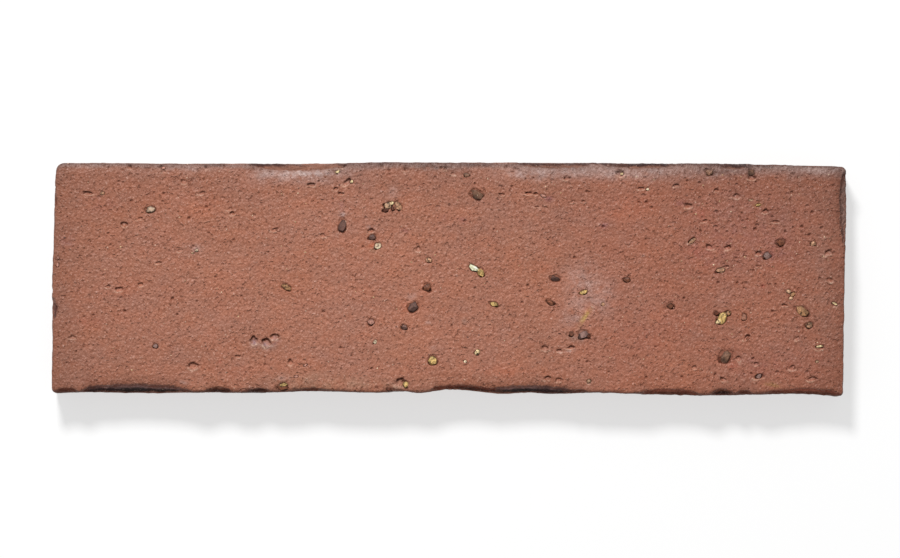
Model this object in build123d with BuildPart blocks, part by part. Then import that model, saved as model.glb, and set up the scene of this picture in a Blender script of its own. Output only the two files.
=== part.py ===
"""Clinker brick slip: one fired slab that is bonded to a wall to look like brickwork.

The slip lies on its back. X runs along its length, Y up the face and Z out of
the face. The origin is the centre of the back, in the plane of the ribs that
the adhesive bed meets. All lengths are in millimetres, and all angles in degrees.
"""
from build123d import *
from math import atan2, cos, degrees, radians, sin
import os

# Overall size
length = 240.0
face_height = 70.4
thickness = 14.0

# Corners and arrises
head_left_radius = 2.5
head_right_radius = 1.7
foot_radius = 1.5
arris_radius = 1.1
back_arris_size = 0.6

# Near its edges the face rolls down: how wide the roll is, and how far it drops
head_roll_width = 4.6
head_roll_drop = 0.75
right_roll_width = 6.0
right_roll_drop = 0.7
foot_roll_width = 3.2
foot_roll_drop = 0.45
left_roll_width = 2.6
left_roll_drop = 0.4

# Keying grooves, undercut, that run the whole length of the back
groove_count = 6
groove_pitch = 11.0
groove_mouth_width = 4.2
groove_root_width = 5.2
groove_depth = 1.5
groove_root_radius = 0.4

# Lens-shaped breaks along the arris, measured from a line this far inside the overall size
break_line_inset = 0.8
break_reach = 2.2
break_slope = 58.0

# How far every cutter runs past the surface that it cuts
overrun = 3.0

# Points of the outline, clockwise, as shares of length and of face_height
head_shares = [
    (-0.495, 0.490),
    (-0.440, 0.491),
    (-0.352, 0.489),
    (-0.252, 0.491),
    (-0.155, 0.493),
    (-0.110, 0.497),
    (0.000, 0.499),
    (0.088, 0.500),
    (0.250, 0.499),
    (0.380, 0.497),
    (0.440, 0.492),
    (0.498, 0.488),
]
right_end_shares = [
    (0.498, 0.488),
    (0.499, 0.420),
    (0.500, 0.300),
    (0.498, 0.150),
    (0.497, -0.050),
    (0.496, -0.250),
    (0.496, -0.380),
    (0.495, -0.500),
]
foot_shares = [
    (0.495, -0.500),
    (0.474, -0.493),
    (0.441, -0.487),
    (0.391, -0.490),
    (0.240, -0.490),
    (0.180, -0.485),
    (0.127, -0.491),
    (0.097, -0.487),
    (0.074, -0.492),
    (0.036, -0.483),
    (0.006, -0.474),
    (-0.009, -0.475),
    (-0.039, -0.489),
    (-0.056, -0.483),
    (-0.080, -0.487),
    (-0.140, -0.485),
    (-0.200, -0.486),
    (-0.225, -0.490),
    (-0.326, -0.492),
    (-0.390, -0.496),
    (-0.447, -0.492),
    (-0.499, -0.500),
]
left_end_shares = [
    (-0.499, -0.500),
    (-0.500, -0.400),
    (-0.499, -0.230),
    (-0.500, -0.130),
    (-0.499, 0.060),
    (-0.497, 0.340),
    (-0.495, 0.490),
]

# Breaks along each edge, which is followed anticlockwise round the face: where each starts and ends,
# as shares of the edge, how fast it rises and falls, as shares of its own run, and its share of the reach
foot_break_shares = [
    (-0.496, -0.465, 0.30, 0.30, 0.45),
    (-0.464, -0.318, 0.05, 0.22, 0.95),
    (-0.311, -0.271, 0.40, 0.30, 0.62),
    (-0.255, -0.219, 0.35, 0.40, 0.52),
    (-0.206, -0.125, 0.10, 0.40, 0.56),
    (-0.030, 0.064, 0.10, 0.20, 1.00),
    (0.030, 0.158, 0.20, 0.02, 1.00),
    (0.148, 0.184, 0.20, 0.40, 0.52),
    (0.232, 0.319, 0.30, 0.30, 0.60),
    (0.328, 0.360, 0.30, 0.30, 0.66),
    (0.359, 0.385, 0.40, 0.40, 0.52),
    (0.385, 0.496, 0.40, 0.20, 0.74),
]
right_end_break_shares = [
    (0.100, 0.475, 0.50, 0.10, 0.75),
]
head_break_shares = [
    (-0.376, -0.338, 0.40, 0.40, 0.50),
    (-0.285, -0.185, 0.30, 0.40, 0.40),
    (-0.181, -0.086, 0.30, 0.30, 0.46),
    (0.126, 0.256, 0.20, 0.20, 0.85),
]
left_end_break_shares = [
    (-0.460, -0.220, 0.40, 0.40, 0.30),
    (0.085, 0.185, 0.30, 0.40, 0.32),
]

up = Vector(0, 0, 1)
edge_table = [
    (Vector(0, -1, 0), face_height, length, foot_roll_width, foot_roll_drop, foot_break_shares),
    (Vector(1, 0, 0), length, face_height, right_roll_width, right_roll_drop, right_end_break_shares),
    (Vector(0, 1, 0), face_height, length, head_roll_width, head_roll_drop, head_break_shares),
    (Vector(-1, 0, 0), length, face_height, left_roll_width, left_roll_drop, left_end_break_shares),
]


def roll_radius(width, drop):
    """The radius of an arc that leaves the face level and falls by drop over width."""
    return (width**2 + drop**2) / (2 * drop)


def draw_roll(half_size, width, drop):
    """The waste above one rolled edge, with X measured outward and Y up from the face."""
    start = half_size - width
    with Locations((start, 0)):
        Rectangle(width + overrun, 2 * overrun, align=(Align.MIN, Align.CENTER))
    with Locations((start, -roll_radius(width, drop))):
        Circle(roll_radius(width, drop), mode=Mode.SUBTRACT)


def draw_break(edge_length, start_share, end_share, rise_share, fall_share, reach_share):
    """One lens: a curve that dips into the slip, closed by a box outside it."""
    start = start_share * edge_length
    end = end_share * edge_length
    run = end - start
    # A cubic Bezier curve reaches three quarters of the height of its middle poles
    pole_depth = reach_share * break_reach * sin(radians(break_slope)) / 0.75
    with BuildLine() as lens:
        Bezier(
            (start, 0),
            (start + rise_share * run, -pole_depth),
            (end - fall_share * run, -pole_depth),
            (end, 0),
        )
        Polyline((end, 0), (end, overrun), (start, overrun), (start, 0))
    make_face(lens.edges())


with BuildPart() as slip:
    # The slab, with its edges as uneven as the fired ones are
    with BuildSketch() as outline:
        with BuildLine():
            for edge_shares in (head_shares, right_end_shares, foot_shares, left_end_shares):
                Spline(*[(x_share * length, y_share * face_height) for x_share, y_share in edge_shares])
        make_face()
        corner_radii = [
            ((-length, face_height), head_left_radius),
            ((length, face_height), head_right_radius),
            ((length, -face_height), foot_radius),
            ((-length, -face_height), foot_radius),
        ]
        for towards, radius in corner_radii:
            fillet(outline.vertices().sort_by_distance(towards)[:1], radius)
    extrude(amount=thickness)
    fillet(slip.faces().sort_by(Axis.Z)[-1].edges(), arris_radius)
    chamfer(slip.faces().sort_by(Axis.Z)[0].edges(), back_arris_size)

    # Rolled edges and breaks, edge by edge
    for outward, size_across, edge_length, roll_width, roll_drop, break_shares in edge_table:
        along = up.cross(outward)
        half_size = size_across / 2
        with BuildSketch(Plane(origin=up * thickness, x_dir=outward, z_dir=outward.cross(up))):
            draw_roll(half_size, roll_width, roll_drop)
        extrude(amount=edge_length, both=True, mode=Mode.SUBTRACT)
        break_line = outward * (half_size - break_line_inset) + up * thickness
        down_slope = outward * cos(radians(break_slope)) - up * sin(radians(break_slope))
        for shares in break_shares:
            with BuildSketch(Plane(origin=break_line, x_dir=along, z_dir=down_slope)):
                draw_break(edge_length, *shares)
            run_out = (break_reach + overrun) / cos(radians(break_slope))
            extrude(amount=run_out, both=True, mode=Mode.SUBTRACT)

    # Keying grooves
    groove_flank = degrees(atan2(groove_depth, (groove_root_width - groove_mouth_width) / 2))
    with BuildSketch(Plane.YZ) as keying:
        with GridLocations(groove_pitch, 0, groove_count, 1):
            Trapezoid(
                groove_root_width,
                groove_depth,
                groove_flank,
                rotation=180,
                align=(Align.CENTER, Align.MAX),
            )
            Rectangle(groove_mouth_width, overrun, align=(Align.CENTER, Align.MAX))
        fillet(keying.vertices().group_by(Axis.Y)[-1], groove_root_radius)
    extrude(amount=length, both=True, mode=Mode.SUBTRACT)

slip.part.label = "brick_slip"
os.makedirs("parts", exist_ok=True)
export_step(slip.part, "parts/brick_slip.step")
print("volume", round(slip.part.volume), "mm3")
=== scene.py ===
"""Looks of the clinker brick slip: its fired skin, broken arrises, stones and keyed back.

Lengths are in millimetres until a mesh is made, and places on the face are in pixels
of the 900 x 558 photograph, read off it. Blender itself works in metres.
"""
import math

import bmesh
import bpy
import numpy as np
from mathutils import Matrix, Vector, geometry
from mathutils.bvhtree import BVHTree


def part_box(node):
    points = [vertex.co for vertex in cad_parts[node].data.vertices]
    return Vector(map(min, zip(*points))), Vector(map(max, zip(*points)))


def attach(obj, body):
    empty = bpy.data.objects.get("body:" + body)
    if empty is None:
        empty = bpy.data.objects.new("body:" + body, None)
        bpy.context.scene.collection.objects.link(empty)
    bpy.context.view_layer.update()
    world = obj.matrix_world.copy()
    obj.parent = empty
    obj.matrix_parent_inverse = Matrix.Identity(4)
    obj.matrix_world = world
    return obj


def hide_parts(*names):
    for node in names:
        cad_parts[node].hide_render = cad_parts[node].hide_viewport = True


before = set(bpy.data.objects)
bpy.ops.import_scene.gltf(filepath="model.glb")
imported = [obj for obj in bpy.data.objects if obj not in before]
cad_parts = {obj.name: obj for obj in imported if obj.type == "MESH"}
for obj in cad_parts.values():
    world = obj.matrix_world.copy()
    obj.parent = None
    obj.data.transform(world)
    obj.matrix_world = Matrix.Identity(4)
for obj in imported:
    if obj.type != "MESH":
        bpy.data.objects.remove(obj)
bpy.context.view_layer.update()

mm = 0.001
slip_node = "brick_slip"
low, high = (np.array(corner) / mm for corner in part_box(slip_node))

# The photograph: where the slip's centre lies in it, its scale, and how far it is turned clockwise
picture_width_px = 900
centre_px = (449.5, 279.0)
slip_length_px = 795.6
picture_turn = math.radians(0.23)
px_per_mm = slip_length_px / (high[0] - low[0])

# The light that the skin's gloss adds everywhere, which the colours below leave out
gloss_level = 0.020
# The darkest and the lightest colour of a pigment
least_colour, most_colour = 0.003, 0.85
# All points of a mesh, where a function asks which
every = slice(None)


def turned(x, y, turn):
    """Places turned anticlockwise round the middle."""
    return x * math.cos(turn) - y * math.sin(turn), x * math.sin(turn) + y * math.cos(turn)


def from_picture(x_px, y_px):
    """The place on the slip, in millimetres, of a pixel of the photograph."""
    across, upward = (x_px - centre_px[0]) / px_per_mm, (centre_px[1] - y_px) / px_per_mm
    return turned(across, upward, picture_turn)


def to_picture(points):
    """The pixel of the photograph that each point of the face shows at."""
    across, upward = turned(points[:, 0], points[:, 1], -picture_turn)
    return centre_px[0] + across * px_per_mm, centre_px[1] - upward * px_per_mm


def pigment(red, green, blue, light=1.0):
    """A colour as it looks in the picture, 0 to 255, under that share of the full light,
    as the linear values that shaders take."""
    shares = np.array([red, green, blue]) / 255
    seen = np.where(shares <= 0.04045, shares / 12.92, ((shares + 0.055) / 1.055) ** 2.4)
    return np.clip(seen / light - gloss_level, least_colour, most_colour)


def pigments(seen_colours):
    """The pigments of several colours by their names."""
    return {name: pigment(*rgb) for name, rgb in seen_colours.items()}


def ramp(value, start, end):
    """0 up to start and 1 from end, with a smooth change between them."""
    share = np.clip((value - start) / (end - start), 0, 1)
    return share * share * (3 - 2 * share)


def bell(value, centre, width):
    """1 at the centre, falling off smoothly on both sides."""
    return np.exp(-(((value - centre) / width) ** 2))


def between(places, start, end, soft=4):
    """1 between two places and 0 outside them, with soft ends."""
    return ramp(places, start - soft, start + soft) * (1 - ramp(places, end - soft, end + soft))


def unit(vectors):
    """The same directions, each with a length of 1."""
    return vectors / np.maximum(np.linalg.norm(vectors, axis=1), 1e-12)[:, None]


def noise(points, size, seed, stretch=(1, 1, 1)):
    """Smooth noise from about -1 to 1 at each point, with lumps of that size in millimetres."""
    draw = np.random.default_rng(seed)
    table = draw.permutation(256)
    slopes = unit(draw.normal(size=(256, 3)))
    places = points / (size * np.array(stretch))
    cell = np.floor(places).astype(int)
    local = places - cell
    fade = local**3 * (local * (local * 6 - 15) + 10)
    total = np.zeros(len(points))
    for corner in np.ndindex(2, 2, 2):
        near = (cell + corner) & 255
        pick = table[(table[(table[near[:, 0]] + near[:, 1]) & 255] + near[:, 2]) & 255]
        weight = np.prod(np.where(np.array(corner) == 1, fade, 1 - fade), axis=1)
        total += weight * np.einsum("ij,ij->i", slopes[pick], local - corner)
    return total * 1.5


def noises(points, *layers):
    """A sum of noises, each given by its strength, size, seed and, where it is drawn out, its stretch."""
    return sum(strength * noise(points, *how) for strength, *how in layers)


# Stones that show in the face: centre across and down, length, width, turn anticlockwise,
# how proud they stand in millimetres, and colour
stones_px = [
    (473.8, 268.2, 10.2, 6, -35, 0.34, "cream"), (480.8, 272.4, 9.6, 6.6, -55, 0.3, "gold"),
    (494, 304.2, 9, 4.8, -18, 0.18, "gold"), (432.8, 360.3, 10, 9.4, 40, 0.25, "gold"),
    (405.6, 384.6, 7, 6.6, 60, -0.05, "gold"), (722.4, 318, 13, 9.4, 58, 0.3, "gold"),
    (718.4, 321.8, 5.6, 4.6, 25, 0.3, "straw"), (728.4, 313.4, 6.4, 5, 30, 0.2, "ochre"),
    (716.4, 313.4, 6, 4.6, -20, 0.02, "umber"), (802.6, 311.2, 14.4, 8.6, -28, 0.24, "ochre"),
    (809.3, 325.2, 8, 6.6, 45, 0.18, "tan"), (583.6, 292.4, 8.4, 4.4, 15, 0.18, "gold"),
    (477.4, 352.3, 6.4, 5, 30, 0.14, "straw"), (388, 205.6, 8.6, 6.6, 50, 0.2, "beige"),
    (398, 206, 10.4, 5.8, -58, 0.22, "tan"), (385.6, 209.8, 7.6, 4.2, 20, 0.04, "umber"),
    (392.8, 208.6, 3.4, 5.2, 10, 0.02, "umber"), (391.6, 203.2, 4.6, 3, 20, 0.28, "straw"),
    (377.8, 246, 7, 6.4, 30, 0.2, "bone"), (372.3, 237.3, 7.6, 6, 10, 0.05, "slate"),
    (428.7, 260.3, 6.6, 4.6, -8, 0.14, "tan"), (286.4, 287.2, 10.4, 5.8, -22, 0.15, "ochre"),
    (150.4, 209.6, 9.6, 7.2, 8, 0.24, "ash"), (342.4, 225.2, 13.4, 8.4, 82, 0.06, "slate"),
    (427.4, 287.4, 8.6, 8, 0, 0.14, "brown"), (413.4, 307.2, 11, 10, 25, 0.12, "slate"),
    (371, 322, 7.4, 6.8, 0, 0.2, "pink"), (404.2, 327.2, 6.8, 5.6, -30, 0.08, "slate"),
    (375.2, 342, 4.4, 3.2, 60, 0.14, "bone"), (476.6, 194.4, 14, 9.6, -30, 0.12, "taupe"),
    (555.2, 278.4, 10, 7, 0, 0.05, "slate"), (550.4, 302.4, 9, 5.2, -30, 0.12, "brown"),
    (626.8, 279.6, 7.6, 5.6, 10, 0.05, "brown"), (670.8, 305.8, 7.8, 6.4, 0, 0.1, "brown"),
    (583.4, 334.6, 11.6, 8.4, 12, 0.14, "grey"), (588.6, 336.2, 5.2, 4.6, 25, 0.06, "umber"),
    (571.4, 334.4, 5.4, 4.4, 60, 0.02, "brown"), (725.6, 356.6, 15.6, 11.4, 50, 0.26, "taupe"),
    (744.4, 317.2, 7, 5, 70, 0.1, "clay"), (780.6, 242.8, 9, 7.6, 0, 0.06, "brown"),
    (813.3, 243.6, 5.8, 5.2, 0, 0.12, "tan"), (767.4, 255.6, 8.2, 7, 20, 0.14, "grey"),
    (720.6, 270.4, 9.6, 5, 15, 0.08, "tan"), (788.8, 291.6, 5, 4.2, 0, 0.12, "beige"),
    (792.8, 294.4, 5.4, 4.2, 40, 0.12, "ochre"), (791, 298.2, 4.2, 3.4, 0, 0.1, "beige"),
    (819.8, 346.4, 7, 2.4, 8, 0.12, "straw"), (282.2, 386.6, 12, 7.6, 8, 0.18, "brown"),
    (155.4, 346, 5.6, 4.6, 0, 0.06, "grey"), (351.6, 181.8, 3.6, 3, 40, 0.12, "straw"),
    (337.6, 171.8, 5, 3, 20, 0.12, "straw"), (647.4, 189.2, 3.2, 2.8, 0, 0.14, "bone"),
    (758.4, 205.2, 4.6, 2.6, 10, 0.08, "gold"), (603, 304.2, 4, 3.4, 0, 0.1, "tan"),
    (389, 389.4, 5, 4, 0, 0, "umber"), (751.2, 172.4, 8, 6.4, 10, 0.06, "taupe"),
    (834.8, 303.6, 5.4, 2.4, -30, 0.12, "straw"), (102.4, 193.2, 4.2, 3.6, 0, 0.1, "tan"),
    (589, 381.2, 4.4, 3.2, 30, 0.12, "beige"), (163.4, 168, 4, 2.6, 0, 0.12, "pink"),
    (283.8, 384.8, 7.4, 3.4, 12, 0.3, "gold"), (758.8, 376.4, 6, 4.2, 20, 0.08, "grey"),
    (692.4, 240.8, 8, 3.6, 34, 0.14, "tan"), (305.5, 365.1, 5.4, 1.8, 20, 0.1, "pink"),
    (296, 376.4, 4.4, 2.4, 10, 0.1, "pink"), (196.7, 250.5, 3.4, 2.6, 30, 0.12, "bone"),
    (192.4, 253, 2.8, 2.2, 0, 0.1, "beige"), (465.3, 361.5, 3.2, 2.6, 0, 0.12, "bone"),
    (543.1, 195.8, 6.4, 2.8, -24, 0.12, "pink"), (817.2, 361.5, 3.6, 2.4, 10, 0.12, "beige"),
    (750.8, 200.2, 4.6, 2, 0, 0.12, "beige"), (57.9, 257.6, 2.6, 3.6, 0, 0.08, "pink"),
    (57.7, 264.6, 2.6, 4, 0, 0.08, "pink"), (466.6, 174.8, 7, 4.4, 0, 0.02, "taupe"),
    (709.4, 172.6, 8, 6.4, 0, 0.06, "taupe"), (621.8, 173.8, 3.6, 2.4, 20, 0.02, "straw"),
]
stone_colours = pigments({
    "cream": (250, 238, 200), "bone": (234, 206, 174), "gold": (208, 174, 114),
    "straw": (220, 192, 148), "ochre": (162, 122, 90), "beige": (186, 150, 122),
    "tan": (180, 138, 110), "ash": (160, 136, 116), "pink": (188, 138, 122),
    "clay": (170, 120, 100), "grey": (146, 116, 108), "taupe": (138, 104, 86),
    "brown": (126, 82, 64), "umber": (94, 58, 46), "slate": (114, 86, 78),
})
# Kinds of stone that broke into many facets, with stronger painted light and shade from facet to facet
crystal_kinds = {"cream", "bone", "gold", "straw", "ochre", "beige", "tan"}
# The kinds that the grains of sand are drawn from
sand_kinds = ["beige", "pink", "taupe", "bone", "brown", "brown", "umber", "umber", "slate", "straw"]
sand_tries = 700
# The share of the tries that is kept anywhere, and what the right end and the strip along the head add
sand_anywhere = 0.28
sand_at_right = 0.4
sand_at_head = 0.3
# The range of a grain's size in millimetres
sand_sizes = (0.14, 0.30)
# Cut corners make a stone look smaller than its box
stone_growth = 1.06

# Scoops: hollows with a steep wall towards the head and a ramp up towards the foot.
# Centre across and down, length, width, turn anticlockwise, and depth in millimetres
scoops_px = [
    (311.2, 184.8, 8, 4.4, 0, 0.55), (347, 182.2, 11, 5, 38, 0.55), (341.8, 166.4, 9, 3.6, 22, 0.5),
    (335.6, 189, 5, 4, 20, 0.45), (341, 193.8, 6.5, 3.2, 0, 0.45), (88, 193.2, 10, 4, -4, 0.5),
    (129.6, 167, 4.5, 5.5, 0, 0.55), (161.4, 167.4, 4.5, 6, 70, 0.45), (163.4, 171.4, 5, 4, 0, 0.55),
    (206.8, 167.8, 5, 3.6, -20, 0.45), (193.4, 366, 12, 7, 8, 0.4), (119, 289.4, 9, 5, 12, 0.4),
    (370.9, 230.6, 7, 4.6, 0, 0.6), (323, 235.6, 6, 4.4, -20, 0.3), (274.6, 229.8, 8, 3.4, 30, 0.35),
    (501.6, 194.6, 7, 2.6, -6, 0.4), (528.6, 193.4, 7.5, 3.4, 10, 0.45),
    (535.8, 194, 5.5, 3.2, 0, 0.45), (536.8, 207, 5, 2.2, 0, 0.35), (566.8, 178.4, 7.5, 4, 14, 0.65),
    (583.8, 201.6, 5, 2.4, -6, 0.35), (641, 188.6, 8, 3, 6, 0.4), (620.4, 173.6, 9, 7, -20, 0.55),
    (688, 205.8, 8.5, 5.4, -4, 0.4), (676.2, 185.4, 6, 3.6, 10, 0.45), (752, 178, 9, 4.4, 8, 0.6),
    (716.4, 190.2, 4.6, 3.8, 0, 0.4), (736.6, 196.2, 7, 6, 0, 0.35), (765.4, 211.4, 7, 4.6, 30, 0.45),
    (775.6, 221.8, 8, 3, -4, 0.4), (704.8, 221, 5, 3.6, 30, 0.4), (692, 240.6, 9, 5, 34, 0.4),
    (709.4, 247.2, 8, 5, -30, 0.4), (727.8, 247.6, 8, 4.6, 16, 0.45), (758.4, 253.2, 6, 5, 40, 0.5),
    (726, 266.6, 6, 2.6, 6, 0.45), (797.4, 338.6, 5, 4.6, 0, 0.25), (746.4, 337.6, 9, 3.4, 45, 0.45),
    (738.6, 358.6, 6, 5.6, 0, 0.35), (756.2, 364, 5, 4, 0, 0.4), (694.4, 367.4, 5, 4, 20, 0.35),
    (723.4, 379.6, 8, 4, -36, 0.4), (759.2, 376.6, 11, 6, 10, 0.35), (812, 379, 9, 5, 10, 0.35),
    (834.6, 304.6, 7, 4, -30, 0.35), (829.6, 280, 8, 5, -10, 0.25), (819.8, 347.8, 9, 5, 4, 0.4),
    (792.4, 368, 7, 5.6, 20, 0.25), (400.4, 382.6, 12, 9, 30, 0.5), (570.6, 347.6, 8, 4, 16, 0.6),
    (559.2, 350.8, 6, 3.6, 0, 0.45), (545, 348.4, 8, 6, 0, 0.35), (547.2, 378.4, 8, 4.6, 24, 0.4),
    (558.4, 380.2, 7, 4.6, 20, 0.3), (589, 381.6, 6, 4, 10, 0.3), (253.8, 340.6, 7.5, 9.5, -10, 0.5),
    (266.2, 342.4, 8.5, 10, 30, 0.6), (274.6, 336.8, 10, 6.4, 0, 0.45),
    (290.2, 362.4, 5, 6.4, 0, 0.35), (443.4, 168.2, 8, 4, -10, 0.4), (453.6, 173.6, 6, 4, 0, 0.35),
    (418.2, 249, 4.4, 7, 0, 0.3), (232, 213.6, 5, 4.6, 0, 0.45), (201.6, 193.2, 7, 3.6, 20, 0.35),
    (158.4, 263, 7, 3, 8, 0.35), (139.8, 218.8, 6, 3.4, 20, 0.35), (108, 286.6, 6, 3.6, 20, 0.35),
    (140.6, 284.6, 5, 4.4, 0, 0.35), (72.4, 337.4, 7, 4, 10, 0.3), (405, 169.8, 5, 4.6, 0, 0.45),
    (183.7, 181.8, 7, 5, 0, 0.22), (229.8, 209.2, 5.6, 3.6, 20, 0.22), (180, 250.6, 6, 3.6, 10, 0.22),
    (237.5, 356.6, 5.6, 3.4, -20, 0.35), (573.1, 201.8, 5, 3.4, 20, 0.22),
    (828, 252.8, 8, 6, 30, 0.35), (384, 206, 4, 5, 30, 0.45), (784.6, 305.4, 6, 3, -10, 0.4),
    (758.4, 266.4, 6, 3, -20, 0.35), (124.2, 224.4, 7, 6, 0, 0.45),
]
# Painted highlight on the foot side of a scoop, where it faces the lamp
lip_highlight_colour = pigment(208, 168, 146)

# Small round pits: centre across and down, and width
pits_px = [
    (138.6, 187.8, 3.6), (162.4, 201.4, 3.4), (206.6, 206.8, 3.8), (131.2, 200.8, 3.8),
    (163.6, 193.6, 3.6), (189, 218, 4.4), (233.6, 239.8, 4), (193.4, 246.2, 3.6), (199.2, 268.4, 3),
    (82.6, 221.8, 2.8), (108.2, 233.4, 3.2), (110.6, 244.8, 3.2), (208.4, 232.6, 3),
    (164.8, 232.2, 2.8), (118.8, 181.2, 3.6), (172.4, 298.6, 4.6), (196.8, 301.2, 3.4),
    (121, 297.8, 3.4), (124.8, 311.2, 4.4), (84.2, 316.6, 3.2), (93.2, 315, 3.4), (66, 324.2, 3),
    (231.8, 327.6, 2.8), (177, 314.4, 3.6), (66.6, 362.8, 3), (241.4, 296, 3.4), (264.8, 357.2, 3),
    (265, 364.6, 3.6), (371.4, 368.6, 3.8), (340.6, 347.6, 3.4), (323.4, 311.6, 4),
    (351.4, 355.8, 3.2), (318.8, 181.4, 3.2), (361, 175.4, 3.4), (362.8, 246.8, 3.6), (437, 242.8, 3),
    (475, 183.6, 3.6), (464.8, 220.8, 4), (494, 229.2, 3.4), (512, 186.4, 3.4), (506, 166.6, 4),
    (515.6, 168.6, 3.6), (525.4, 179, 3), (533.6, 178, 3.2), (587, 191.6, 3.8), (638.8, 202, 3.6),
    (646.4, 202.2, 4), (645.8, 239, 3.2), (603.2, 226.6, 4), (574.4, 257.6, 4.4), (527.8, 285.4, 4.2),
    (520.2, 291.2, 3.2), (522.2, 302.4, 4), (483.8, 384.6, 3.6), (494.6, 386.6, 3.6),
    (587.2, 361.8, 3.8), (608.8, 371.8, 3.4), (646.4, 377.2, 3.4), (655.8, 346.8, 3.4),
    (682, 376.8, 3.8), (715.2, 374.4, 3.8), (751.4, 373.4, 3.6), (753, 358.6, 4.4), (772.4, 311.4, 4),
    (718.2, 282.6, 3.6), (737.4, 282.8, 3.8), (742.6, 283.4, 3), (775.6, 284.4, 3.6), (744.6, 288, 3),
    (684, 298.2, 3.8), (755.2, 228.8, 4.8), (772.4, 216.6, 3.6), (747.6, 219.2, 3.2),
    (741.8, 213.2, 3.6), (801.8, 226.6, 4), (821.6, 228, 4.2), (808.8, 235, 4), (812, 212.2, 4.2),
    (652, 207.2, 3.6), (687.2, 180.8, 3.8), (699.2, 182.6, 4), (753.4, 270.4, 3.4),
    (792.8, 174.4, 3.8), (756, 181.8, 3.6), (769.8, 194.8, 3.2), (791.6, 192.4, 4),
    (833.6, 185.4, 3.6), (382, 166, 3.6), (389, 174.4, 3.8), (297.2, 207.2, 3), (709.8, 195, 3),
    (727, 231.6, 3.4), (700.6, 231, 3.6), (736.2, 258, 3.2), (762.8, 285.8, 3), (785.2, 231.8, 3.2),
    (377.8, 387.8, 3.8), (394, 389.2, 4), (384, 388.2, 3.6), (268.6, 252.2, 2.8), (306.4, 262.4, 2.8),
    (451.6, 325.8, 3), (629.2, 322.4, 2.8), (665.2, 330.8, 2.8), (352.4, 275.6, 2.6),
    (215.4, 276.8, 2.8), (148.4, 330.2, 2.6), (498.6, 250.8, 2.8), (547.8, 239.6, 2.6),
    (620.4, 252.6, 2.8),
]
# Each is a little longer than wide, and turned by this much
pit_roundness = 0.85
pit_turn = 20
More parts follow.
